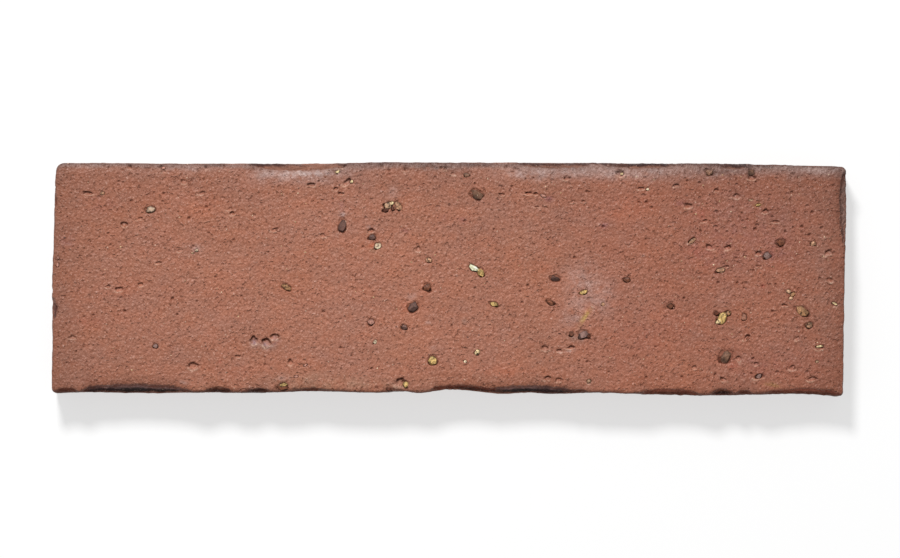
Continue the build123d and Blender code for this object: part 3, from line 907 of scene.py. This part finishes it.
def arris_shade(points, colour, edges):
    """Paints shade on the long arrises in thin uneven dark lines, which fade down the walls."""
    x_px, _ = to_picture(points)
    uneven = 1 + noises(points, (0.6, 2.2, 43), (0.4, 0.8, 46))
    fade = ramp(points[:, 2], *arris_shade_fade)
    for name, lines in arris_shade_px.items():
        depth = edges.inside(name, points)
        for start, end, width, strength in lines:
            line = 1 - ramp(depth, 0.45 * width * uneven, 1.1 * width * uneven)
            blend(colour, every, arris_shade_colour, strength * line * fade * between(x_px, start, end, 6))


def head_sheen_shade(points, colour, from_head):
    """Paints a grey sheen and shade over the clay along the head's arris."""
    x_px, _ = to_picture(points)
    width = np.interp(x_px, head_sheen_px, head_sheen_widths) * (1 + noises(points, (0.35, 5, 47), (0.3, 1.6, 48)))
    share = (1 - ramp(from_head, 0.1 * width, 1.45 * width)) * ramp(points[:, 2], *head_sheen_fade)
    blend(colour, every, head_sheen_colour, head_sheen_strength * share)


def break_width(along, from_edge, broken):
    """How far in from the edge the breaks reach at each point's place along it."""
    bin_size = 0.6
    places = np.round((along - along.min()) / bin_size).astype(int)
    widths = np.zeros(places.max() + 1)
    np.maximum.at(widths, places[broken], from_edge[broken])
    widths = np.convolve(np.pad(widths, 1, mode="edge"), (0.25, 0.5, 0.25), "valid")
    return np.interp(along, along.min() + bin_size * np.arange(len(widths)), widths)


def break_arrises(points, relief, colour, matt, edges):
    """Roughens and paints the broken arrises, each break in its own colour."""
    from_edge = edges.nearest(points)
    straying = noise(points, 1.7, 40)
    near_top = ramp(points[:, 2] + 0.8 * straying, high[2] - 5.2, high[2] - 3.6)
    broken = ramp(whole_height(points, from_edge) - points[:, 2], break_start, break_full) * near_top
    relief += broken * (noises(points, (0.18, 2.0, 27), (0.12, 0.9, 28)) - 0.06)
    picture_places = to_picture(points)
    ragged_all = noises(points, (0.36, 1.6, 44), (0.32, 0.7, 45))
    uneven = noises(points, (0.25, 1.3, 41), (0.35, 0.8, 42, (4, 1, 1)))
    for name, breaks in breaks_px.items():
        here = np.flatnonzero((edges.inside(name, points) < break_band) & (near_top > 0))
        axis = 0 if name in ("foot", "head") else 1
        along_px = picture_places[axis][here] + 5 * straying[here]
        depth, ragged = from_edge[here], ragged_all[here]
        width = break_width(points[here, axis], depth, broken[here] > 0.5)
        beyond = depth - width + ragged
        # A break comes out on the wall as far down as its slope takes it
        foot_of_break = break_fall * width + 0.9 * ragged
        below_top = high[2] - points[here, 2]
        above = near_top[here] * (1 - ramp(below_top, foot_of_break - 0.3, foot_of_break + 0.5))
        for start, end, kind in breaks:
            *seen, rim_share, outer_share, outer_width, fringe_shade, fringe_width = break_kinds[kind]
            rim_lit, inner_lit, outer_lit = (pigment(*rgb, break_light[name]) for rgb in seen)
            on_break = between(along_px, start, end) * ramp(width, 0.25, 0.7) * above
            inside = on_break * (1 - ramp(beyond, -0.20, 0.30))
            outer_edge = outer_width * width + 0.6 * ragged
            outer = outer_share * (1 - ramp(depth - outer_edge, -0.35, 0.25))
            rim = rim_share * bell(beyond, -0.15, 0.32)
            past_rim = np.maximum(0, beyond)
            shade = inner_lit + (outer_lit - inner_lit) * outer[:, None]
            shade = np.minimum(shade * (1 + uneven[here])[:, None], 0.8)
            here_colour = colour[here]
            # Painted shade on the clay beside the break, and the rim's line of painted shadow
            paint_shade(here_colour, every, fringe_shade * on_break * np.exp(-past_rim / fringe_width))
            blend(here_colour, every, shade, inside)
            blend(here_colour, every, rim_lit, rim * inside)
            colour[here] = here_colour
            relief[here] += on_break * (rim * (ragged * 0.5 - 0.10) - 0.22 * np.exp(-past_rim / 0.9))
            matt[here] = np.maximum(matt[here], inside)


def paint_and_raise(points, normals, edges):
    """The slip's points with their relief, and their colour and mattness."""
    up = ramp(normals[:, 2], 0.2, 0.75)
    down = ramp(-normals[:, 2], 0.45, 0.9)
    side = 1 - up - down
    on_end = ramp(abs(normals[:, 0]), 0.6, 0.8) * side
    on_long = side - on_end
    x_px, y_px = to_picture(points)
    tone_and_light = np.interp(x_px, tone_px, tones_and_light) * np.interp(y_px, down_px, down_tones_and_light)
    colour = clay_colour * (tone_and_light**2.2)[:, None]
    colour *= 1 + ramp(x_px, *redder_px)[:, None] * redder
    colour *= 1 + noises(points, (0.06, 6, 33, (1.6, 1, 1)), (0.05, 17, 34, (1.6, 1, 1)))[:, None]
    drift = noises(points, (0.065, 13, 35, (1.5, 1, 1)), (0.045, 3.6, 36, (1.3, 1, 1)))
    colour *= 1 + drift[:, None] * hue_swing

    # The face, with its marks
    face = np.flatnonzero(up > 0.5)
    face_places, marked_colour = points[face], colour[face]
    marked, marked_matt = np.zeros((2, len(face)))
    head_sheen_shade(face_places, marked_colour, edges.inside("head", face_places))
    stain(face_places, marked_colour)
    for press in (press_stones, press_scoops, press_pits):
        press(face_places, marked, marked_colour, marked_matt)
    relief = up * skin_relief(points)
    relief[face] += marked * up[face]
    matt = np.zeros(len(points))
    colour[face], matt[face] = marked_colour, marked_matt

    # The arris, which is never quite straight, and its breaks
    arris = bell(edges.nearest(points), 0, 2.2) * ramp(points[:, 2], high[2] - 4, high[2] - 2)
    relief += arris * (noises(points, (0.08, 5, 25), (0.06, 2, 26)) + 0.02)
    head_shade = head_shading * (1 - ramp(edges.inside("head", points), 0.8, 2.0)) * up
    colour *= 1 - head_shade[:, None]
    break_arrises(points, relief, colour, matt, edges)
    arris_shade(points, colour, edges)

    # The long walls, dragged by the die, and the cut ends
    drag = noises(points, (0.05, 1.3, 51, (14, 1, 1)), (0.07, 5, 52, (3, 1, 1)))
    torn = -torn_depth * ramp(noise(points, 3.4, 53, (2.4, 1, 1)), 0.34, 0.62)
    combed = noises(points, (0.06, 1.4, 54, (1, 1, 9)), (0.09, 4.2, 55))
    plucked = -plucked_depth * ramp(noise(points, 2.6, 56), 0.36, 0.6)
    relief += on_long * (drag + torn + 0.04) + on_end * (combed + plucked)
    wall_matt = on_long * ramp(-torn, 0.02, 0.2) + on_end * (0.4 + 0.6 * ramp(-plucked, 0.02, 0.25))
    shade = 1 + side * (noises(points, (0.10, 7, 57, (2, 1, 1)), (0.10, 2.2, 58)) - 0.08)
    colour *= (shade * (1 - 0.28 * wall_matt * side))[:, None]

    # The back: dusty ribs with long drag marks, and torn spots
    ribbed = noises(points, (0.05, 1.2, 61, (18, 1, 1)), (0.05, 6, 62, (3, 1, 1)))
    pulled = -torn_depth * ramp(noise(points, 2.8, 63, (3, 1, 1)), 0.38, 0.6)
    relief += down * (ribbed + pulled - 0.07)
    dust = np.clip(0.35 + noises(points, (0.4, 9, 64, (2, 1, 1)), (0.25, 1.6, 65)), 0, 0.8)
    blend(colour, every, dust_colour, down * dust)
    matt = np.maximum(matt, np.maximum(wall_matt, down * 0.8))

    raised = points + normals * relief[:, None]
    raised[:, 2] = np.maximum(raised[:, 2], 0)
    return raised, np.clip(colour, least_colour, 1), np.clip(matt, 0, 1)


def new_object(name, data, place=(0, 0, 0), turn=(0, 0, 0)):
    """An object in the scene."""
    made = bpy.data.objects.new(name, data)
    made.location = place
    made.rotation_euler = turn
    bpy.context.scene.collection.objects.link(made)
    return made


def new_mesh(name, points, faces, smooth=True):
    """A Blender object, in metres, from points in millimetres."""
    mesh = bpy.data.meshes.new(name)
    mesh.from_pydata((points * mm).tolist(), [], faces)
    mesh.update()
    mesh.polygons.foreach_set("use_smooth", [smooth] * len(mesh.polygons))
    return new_object(name, mesh)


def paint(made, name, values):
    """Gives each point of a mesh a number, or a colour."""
    if values.ndim == 1:
        made.data.attributes.new(name, "FLOAT", "POINT").data.foreach_set("value", values)
    else:
        colours = np.column_stack([values, np.ones(len(values))])
        made.data.attributes.new(name, "FLOAT_COLOR", "POINT").data.foreach_set("color", colours.ravel())


def make_slip():
    """The whole slip as one closed mesh."""
    shell, edges = build_slip_shell()
    used = np.zeros(shell.count, bool)
    for face in shell.faces:
        used[face] = True
    renumber = np.cumsum(used) - 1
    points = shell.points()[used]
    faces = [[int(renumber[i]) for i in face] for face in shell.faces]
    raised, colour, matt = paint_and_raise(points, point_normals(points, faces), edges)
    slip = new_mesh("slip_body", raised, faces)
    for name, values in (("clay", colour), ("matt", matt), ("rough", roughness_of(points))):
        paint(slip, name, values)
    return slip


def unit_ball(detail):
    """The points and faces of a ball of radius 1."""
    ball = bmesh.new()
    bmesh.ops.create_icosphere(ball, subdivisions=detail, radius=1)
    points = np.array([v.co[:] for v in ball.verts])
    faces = np.array([[v.index for v in f.verts] for f in ball.faces])
    ball.free()
    return points, faces


def planes_round(draw, count, turn, rise):
    """The directions of planes round the upright axis, with that range of rise, before they are scaled."""
    around = (np.arange(count) + turn + draw.uniform(-0.3, 0.3, count)) * 2 * math.pi / count
    return np.column_stack([np.cos(around), np.sin(around), draw.uniform(*rise, count)])


def chip(ball_points, draw, side_count, top_count, contrast):
    """A ball's points cut down to an angular stone, as large as the ball, and each facet's painted light and
    shade.
    """
    sides = planes_round(draw, side_count, 0, (0.1, 0.8))
    tops = planes_round(draw, top_count, draw.uniform(0, 1), (1.6, 4.0))
    planes = unit(np.concatenate([sides, tops]))
    offsets = np.concatenate([draw.uniform(0.66, 0.90, side_count), draw.uniform(0.42, 0.54, top_count)])
    facing = ball_points @ planes.T
    reach = np.where(facing > 0.05, offsets / np.maximum(facing, 0.05), 9)
    stone = ball_points * np.minimum(reach.min(axis=1), 1.08)[:, None]
    lowest, highest = stone.min(axis=0), stone.max(axis=0)
    # Painted light on the top facets, and painted shade on the side facets
    lit_top_facets = 1.08 + contrast * draw.uniform(-1, 1, top_count)
    facet_shading = np.concatenate([draw.uniform(0.35, 0.95, side_count), lit_top_facets])[reach.argmin(axis=1)]
    return (stone - (lowest + highest) / 2) * 2 / (highest - lowest), facet_shading


def face_level(x, y):
    """The height of the face's skin at places on it."""
    places = cast_up(np.column_stack([x, y]))
    return places[:, 2] + skin_relief(places)


def add_stones(heap):
    """The stones that the photograph shows one by one."""
    ball_points, ball_faces = unit_ball(4)
    levels = face_level([m.x for m, *_ in stone_marks], [m.y for m, *_ in stone_marks])
    for number, ((mark, proud, kind), level) in enumerate(zip(stone_marks, levels)):
        draw = np.random.default_rng(900 + number)
        crystal = kind in crystal_kinds
        sides, tops = draw.integers(5, 8), draw.integers(3, 6) if crystal else draw.integers(1, 4)
        stone, facet_shading = chip(ball_points, draw, sides, tops, 0.45 if crystal else 0.30)
        stone = stone * [mark.a * stone_growth, mark.b * stone_growth, 0.8 * min(mark.a, mark.b)]
        tilt = draw.uniform(-0.07, 0.07, 2)
        stone[:, 2] += tilt[0] * stone[:, 0] + tilt[1] * stone[:, 1]
        stone[:, 0], stone[:, 1] = turned(stone[:, 0], stone[:, 1], mark.turn)
        stone += [mark.x, mark.y, level + proud - stone[:, 2].max()]
        speckle = noises(stone, (0.7, 0.75, 71), (0.6, 0.40, 72))
        veins = bell(noise(stone, 1.1, 73), 0, 0.11)
        mottled = 1.04 + speckle - 0.55 * veins if crystal else 1 + 0.6 * speckle - 0.2 * veins
        # Painted shade on the parts of a stone that lie below the face's skin
        sunk_shade = ramp(level - stone[:, 2], -0.05, 0.45)
        shaded_tone = np.clip(facet_shading * mottled * (1 - 0.6 * sunk_shade), 0.05, 1.7)
        heap.drop(stone, ball_faces, stone_colours[kind] * shaded_tone[:, None])


def add_sand(heap):
    """Grains of sand strewn over the face, more of them at its right end and along the head."""
    ball_points, ball_faces = unit_ball(2)
    draw = np.random.default_rng(77)
    x = draw.uniform(low[0] + 3, high[0] - 3, sand_tries)
    y = draw.uniform(low[1] + 3, high[1] - 2.5, sand_tries)
    x_px, y_px = to_picture(np.column_stack([x, y]))
    at_right = ramp(x_px, 640, 720) * (1 - ramp(y_px, 300, 360))
    share = sand_anywhere + sand_at_right * at_right + sand_at_head * (1 - ramp(y_px, 170, 200))
    kept = np.flatnonzero(draw.uniform(0, 1, sand_tries) < share)
    for place, level in zip(kept, face_level(x[kept], y[kept])):
        size = draw.uniform(*sand_sizes)
        grain, _ = chip(ball_points, draw, 5, 2, 0.2)
        grain = grain * [size, size * draw.uniform(0.6, 1), size * 0.8]
        grain[:, 0], grain[:, 1] = turned(grain[:, 0], grain[:, 1], draw.uniform(0, 2 * math.pi))
        grain += [x[place], y[place], level + draw.uniform(0.0, 0.09) - size * 0.5]
        colour = stone_colours[sand_kinds[draw.integers(len(sand_kinds))]]
        heap.drop(grain, ball_faces, colour * draw.uniform(0.75, 1.1))


def make_grit():
    """The stones in the face, and the sand between them, as one mesh of small closed stones."""
    heap = Shell()
    add_stones(heap)
    add_sand(heap)
    grit = new_mesh("grit", heap.points(), heap.faces, smooth=False)
    paint(grit, "stone", np.clip(np.concatenate(heap.colours), least_colour, 1))
    return grit


class Shader:
    """The nodes of one material or of the world, added one by one."""

    def __init__(self, owner):
        owner.use_nodes = True
        self.tree = owner.node_tree
        self.tree.nodes.clear()

    def put(self, socket, value):
        if isinstance(value, bpy.types.NodeSocket):
            self.tree.links.new(value, socket)
        else:
            socket.default_value = value

    def node(self, kind, inputs=(), **settings):
        made = self.tree.nodes.new("ShaderNode" + kind)
        for name, value in settings.items():
            setattr(made, name, value)
        for name, value in dict(inputs).items():
            self.put(made.inputs[name], value)
        return made

    def painted(self, name, output):
        """What the mesh has painted on its points under that name."""
        return self.node("Attribute", attribute_name=name).outputs[output]

    def value(self, operation, first, second=0.0):
        return self.node("Math", {0: first, 1: second}, operation=operation).outputs[0]

    def times(self, first, second):
        return self.value("MULTIPLY", first, second)

    def sum(self, *terms):
        """The sum of values, each with its own weight."""
        total = 0.0
        for value, weight in terms:
            total = self.value("ADD", total, self.times(value, weight))
        return total

    def spread(self, value, start, end, to_start=0.0, to_end=1.0):
        """A value's range changed to another, with a smooth change."""
        inputs = {0: value, 1: start, 2: end, 3: to_start, 4: to_end}
        return self.node("MapRange", inputs, interpolation_type="SMOOTHSTEP").outputs[0]

    def mix(self, share, first, second, way="MIX"):
        made = self.node("Mix", data_type="RGBA", blend_type=way)
        for number, value in ((0, share), (6, first), (7, second)):
            self.put(made.inputs[number], value)
        return made.outputs[2]

    def tinted(self, colour, tint):
        """A colour times another."""
        return self.mix(1.0, colour, tint, "MULTIPLY")

    def places(self, size, stretch=(1, 1, 1), turn=0.0):
        """The slip's own coordinates, with one unit for that many millimetres."""
        source = self.node("TexCoord").outputs["Object"]
        rotated = self.node("Mapping", {"Vector": source, "Rotation": (0, 0, turn)}).outputs[0]
        scale = tuple(1 / (size * mm * share) for share in stretch)
        return self.node("Mapping", {"Vector": rotated, "Scale": scale}).outputs[0]

    def noise(self, size, stretch=(1, 1, 1), turn=0.0, detail=2.0, roughness=0.55, distortion=0.0):
        inputs = {
            "Vector": self.places(size, stretch, turn), "Scale": 1.0, "Detail": detail,
            "Roughness": roughness, "Distortion": distortion,
        }
        return self.node("TexNoise", inputs).outputs[0]

    def spots(self, size, rarity, largest):
        """Scattered round spots: how far in a place is, and how near its spot's head side, from 0 to 1."""
        vector = self.places(size)
        made = self.node("TexVoronoi", {"Vector": vector, "Scale": 1.0, "Randomness": 1.0})
        number = self.node("SeparateColor", {0: made.outputs["Color"]}).outputs[0]
        radius = self.value("ADD", self.spread(number, rarity, 1.0, 0.0, largest), 0.001)
        outward = self.value("DIVIDE", made.outputs["Distance"], radius)
        centre = made.outputs["Position"]
        away = self.node("VectorMath", {0: vector, 1: centre}, operation="SUBTRACT").outputs[0]
        upward = self.value("DIVIDE", self.node("SeparateXYZ", {0: away}).outputs["Y"], radius)
        return self.spread(outward, 1.1, 0.55), self.spread(upward, -0.7, 0.6)

    def seen_straight(self):
        """1 where this is seen straight, in a mirror or through glass, and 0 where it only lights."""
        rays = self.node("LightPath").outputs
        seen = self.value("MAXIMUM", rays["Is Camera Ray"], rays["Is Glossy Ray"])
        return self.value("MAXIMUM", seen, rays["Is Transmission Ray"])

    def finish(self, colour, roughness, specular, height, distance):
        """Ends the nodes in one shader with bump."""
        bump = self.node("Bump", {"Strength": 1.0, "Distance": distance * mm, "Height": height})
        shader = self.node("BsdfPrincipled", {
            "Base Color": colour, "Roughness": roughness, "Normal": bump.outputs[0],
            "Specular IOR Level": specular,
        })
        self.put(self.node("OutputMaterial").inputs[0], shader.outputs[0])


# The grain is drawn out a little in this direction
grain_turn = math.radians(-18)


def clay_material():
    """Fired clay: sandy grain with painted highlights on its tips, small hollows with painted shade, pale
    specks, and a skin that is smoother than the breaks.
    """
    material = bpy.data.materials.new("fired_clay")
    s = Shader(material)
    clay, matt, rough = s.painted("clay", "Color"), s.painted("matt", "Fac"), s.painted("rough", "Fac")

    fine = s.noise(0.55, (1, 1.25, 1), grain_turn, 1.5, 0.5, 0.2)
    coarse = s.noise(1.15, (1, 1.15, 1), grain_turn, 1.0, 0.5)
    flecks = s.noise(0.74, (1, 1, 1), grain_turn, 1.5, 0.6)
    pits = s.spread(s.noise(0.95, (1.05, 1, 1), grain_turn, 1.0, 0.5), 0.60, 0.76)
    mottle = s.noise(4.0, (1.4, 1, 1), 0.0, 3.0, 0.6)
    dark, _ = s.spots(2.6, 0.55, 0.20)
    dark = s.times(dark, s.spread(rough, 0.2, 0.9, 0.5, 1.15))
    pale, _ = s.spots(2.4, 0.5, 0.13)
    hollow, head_side = s.spots(3.1, 0.3, 0.30)
    scoop = s.times(s.times(hollow, head_side), rough)
    shaded_wall = s.times(scoop, s.spread(head_side, 0.55, 1.0))
    lit_tips = s.spread(fine, 0.60, 0.80)

    warm, cool = s.tinted(clay, (1.03, 0.99, 0.96, 1)), s.tinted(clay, (0.97, 1.0, 1.02, 1))
    colour = s.mix(s.spread(mottle, 0.35, 0.65), cool, warm)
    fleck_tint = s.mix(s.spread(flecks, 0.28, 0.72), (0.85, 0.80, 0.77, 1), (1.13, 1.18, 1.21, 1))
    colour = s.tinted(colour, fleck_tint)
    # Laid over it: where, how strong, and the colour; the tips are painted highlight, and the pits, dark
    # spots and walls painted shade
    layers = [
        (lit_tips, 0.36, (218, 178, 160)), (pits, 0.30, (110, 62, 46)), (dark, 0.45, (96, 56, 44)),
        (shaded_wall, 0.75, (80, 44, 34)), (pale, 0.60, (222, 186, 164)),
    ]
    for where, strength, seen in layers:
        colour = s.mix(s.times(where, strength), colour, (*pigment(*seen), 1))

    height = s.sum((fine, 0.42), (coarse, 0.52), (pits, -0.30), (dark, -0.34), (pale, 0.12), (scoop, -0.60))
    dull = s.spread(matt, 0.0, 1.0, 0.40, 0.85)
    roughness = s.value("ADD", dull, s.spread(fine, 0.3, 0.7, 0.05, -0.05))
    s.finish(colour, roughness, 0.22, height, 0.80)
    return material


def stone_material():
    """Mineral stones: each has its own colour, with veins and a waxy gloss."""
    material = bpy.data.materials.new("mineral_grit")
    s = Shader(material)
    vein = s.noise(0.45, (1, 1, 1), 0.0, 3.0, 0.6, 0.5)
    light = s.spread(vein, 0.3, 0.7, 0.75, 1.15)
    grey = s.node("CombineColor", {0: light, 1: light, 2: light}).outputs[0]
    colour = s.tinted(s.painted("stone", "Color"), grey)
    s.finish(colour, s.spread(vein, 0.3, 0.7, 0.6, 0.45), 0.25, vein, 0.14)
    return material


floor_size = 8000.0
floor_grey = 0.42
floor_glow = 0.60


def make_floor():
    """A plain pale floor that shows white and keeps the slip's shadow."""
    material = bpy.data.materials.new("pale_floor")
    s = Shader(material)
    diffuse = s.node("BsdfDiffuse", {"Color": (floor_grey, floor_grey, floor_grey, 1)})
    glow = s.node("Emission", {"Color": (1, 1, 1, 1), "Strength": s.times(s.seen_straight(), floor_glow)})
    both = s.node("AddShader", {0: diffuse.outputs[0], 1: glow.outputs[0]})
    s.put(s.node("OutputMaterial").inputs[0], both.outputs[0])
    corners = floor_size / 2 * np.array([[-1, -1, 0], [1, -1, 0], [1, 1, 0], [-1, 1, 0]])
    floor = new_mesh("floor", corners, [(0, 1, 2, 3)], smooth=False)
    floor.data.materials.append(material)


# The share of the light that comes from all round, and the lamp beyond the head
fill_level = 0.36
lamp_level = 0.68
lamp_place = Vector((-0.28, 0.94, 1.09))
lamp_size = 0.30


def make_world():
    """Even light from all round, and a white background."""
    world = bpy.data.worlds.new("studio")
    bpy.context.scene.world = world
    s = Shader(world)
    strength = s.spread(s.seen_straight(), 0.0, 1.0, fill_level, 1.0)
    background = s.node("Background", {"Color": (1, 1, 1, 1), "Strength": strength})
    s.put(s.node("OutputWorld").inputs[0], background.outputs[0])


def make_lamp():
    """A soft lamp beyond the head, which draws the grain of the face."""
    data = bpy.data.lights.new("key", "AREA")
    data.shape = "DISK"
    data.size = lamp_size
    slope = lamp_place.z / lamp_place.length
    data.energy = lamp_level * math.pi**2 * lamp_place.length**2 / slope
    new_object("key", data, lamp_place, (-lamp_place).to_track_quat("-Z", "Y").to_euler())


camera_distance = 1.5
sensor_width = 36.0


def make_camera():
    """A long lens straight above the face, turned as the photograph is."""
    data = bpy.data.cameras.new("camera")
    data.sensor_width = sensor_width
    data.lens = sensor_width * camera_distance / (picture_width_px / px_per_mm * mm)
    data.clip_end = 30
    middle_x = (picture_width_px / 2 - centre_px[0]) / px_per_mm * mm
    place = (middle_x, 0, high[2] * mm + camera_distance)
    bpy.context.scene.camera = new_object("camera", data, place, (0, 0, picture_turn))


make_camera()
make_world()
make_lamp()
make_floor()

slip = make_slip()
slip.data.materials.append(clay_material())
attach(slip, "root")
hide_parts(slip_node)

grit = make_grit()
grit.data.materials.append(stone_material())
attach(grit, "root")

bpy.context.scene.view_settings.view_transform = "Standard"
